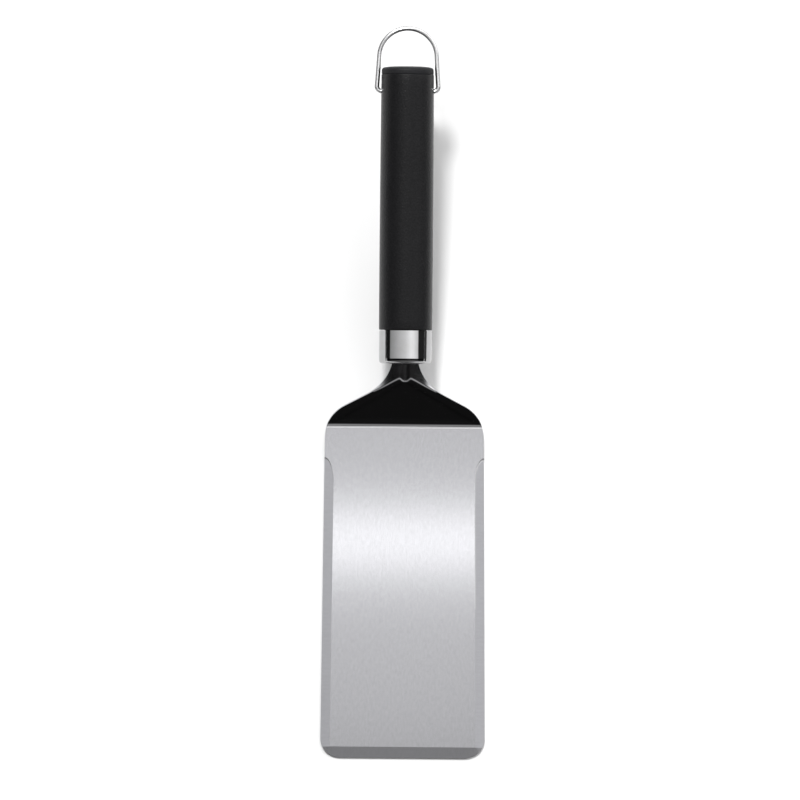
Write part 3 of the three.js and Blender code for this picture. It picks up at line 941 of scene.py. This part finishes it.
def make_world():
    """Light from all round by the levels above. The camera sees a plain backdrop in its place."""
    world = bpy.data.worlds.new("studio")
    world.use_nodes = True
    bpy.context.scene.world = world
    tree = world.node_tree
    background = tree.nodes["Background"]
    coordinates = add(tree, "ShaderNodeTexCoord")

    def along(axis):
        node = add(tree, "ShaderNodeVectorMath", operation="DOT_PRODUCT")
        node.inputs[1].default_value = axis
        tree.links.new(coordinates.outputs["Generated"], node.inputs[0])
        return node.outputs["Value"]

    def stops(source, levels):
        node = add(tree, "ShaderNodeValToRGB")
        elements = node.color_ramp.elements
        while len(elements) < len(levels):
            elements.new(0.5)
        for element, (place, _) in zip(elements, levels):
            element.position = place
        for element, (_, level) in zip(elements, levels):
            element.color = (level, level, level, 1)
        tree.links.new(source, node.inputs["Fac"])
        return node.outputs["Color"]

    def maths(operation, a, b):
        node = add(tree, "ShaderNodeMath", operation=operation)
        for index, value in enumerate((a, b)):
            if isinstance(value, (int, float)):
                node.inputs[index].default_value = value
            else:
                tree.links.new(value, node.inputs[index])
        return node.outputs["Value"]

    angle = maths("ARCTAN2", along(ACROSS), along(TO_CAMERA))
    turn = maths("ADD", maths("DIVIDE", angle, 2 * math.pi), 0.5)
    ahead = maths("ADD", maths("MULTIPLY", along(HANDLE_AXIS), 0.5), 0.5)
    band = maths("MULTIPLY", stops(turn, BAND_SIDES), stops(ahead, BAND_PLACE))
    rest = maths("MULTIPLY", stops(turn, REST_SIDES), stops(ahead, REST_PLACE))
    back = maths("MULTIPLY", stops(turn, BACK_SIDES), stops(ahead, BACK_PLACE))
    panel = maths("MULTIPLY", stops(turn, PANEL_SIDES), stops(ahead, PANEL_PLACE))
    light = maths("ADD", maths("ADD", band, rest), maths("ADD", back, panel))
    seen = add(tree, "ShaderNodeLightPath").outputs["Is Camera Ray"]
    plain = maths("MULTIPLY", seen, BACKDROP)
    level = maths("ADD", plain, maths("MULTIPLY", light, maths("SUBTRACT", 1.0, seen)))
    tree.links.new(level, background.inputs["Strength"])
    background.inputs["Color"].default_value = (1, 1, 1, 1)


# ---- Camera ----

CAMERA_WIDTH = 0.4340
CAMERA_DISTANCE = 12.0
CAMERA_SENSOR = 36.0
CAMERA_ALONG = 14.6
CAMERA_ACROSS = -2.5
CAMERA_SWING = math.radians(-0.7)
CAMERA_ROLL = math.radians(0.5)


def make_camera():
    """Looks square down on the handle, from far off."""
    data = bpy.data.cameras.new("camera")
    data.sensor_width = CAMERA_SENSOR
    data.lens = CAMERA_SENSOR * CAMERA_DISTANCE / CAMERA_WIDTH
    data.clip_start = CAMERA_DISTANCE / 2
    data.clip_end = CAMERA_DISTANCE * 2
    camera = bpy.data.objects.new("camera", data)
    heel = Vector((0, BLADE_LENGTH / 2, SHEET)) * MM
    centre = heel + HANDLE_AXIS * CAMERA_ALONG * MM + ACROSS * CAMERA_ACROSS * MM
    swing = Matrix.Rotation(CAMERA_SWING, 3, HANDLE_AXIS)
    roll = Matrix.Rotation(CAMERA_ROLL, 3, TO_CAMERA)
    basis = swing @ roll @ Matrix((ACROSS, HANDLE_AXIS, TO_CAMERA)).transposed()
    place = Matrix.Translation(centre + swing @ TO_CAMERA * CAMERA_DISTANCE)
    camera.matrix_world = place @ basis.to_4x4()
    bpy.context.scene.collection.objects.link(camera)
    bpy.context.scene.camera = camera


make_floor()
make_card("right card", *CARD_RIGHT)
make_card("left card", *CARD_LEFT)
make_world()
area_light("strip", "RECTANGLE", place=(0, 0.152, 0.6), target=(0, 0.025, 0),
           width=0.9, depth=0.030, watts=0.115)
area_light("glow", "ELLIPSE", place=(0, 0.163, 0.6), target=(0, 0.035, 0),
           width=0.3, depth=0.26, watts=0.0385)
area_light("key", "RECTANGLE", place=(-0.28, 1.04, 1.74), target=(0, 0.1, 0),
           width=0.35, depth=0.35, watts=31.0)
make_camera()
bpy.context.scene.view_settings.view_transform = "Standard"
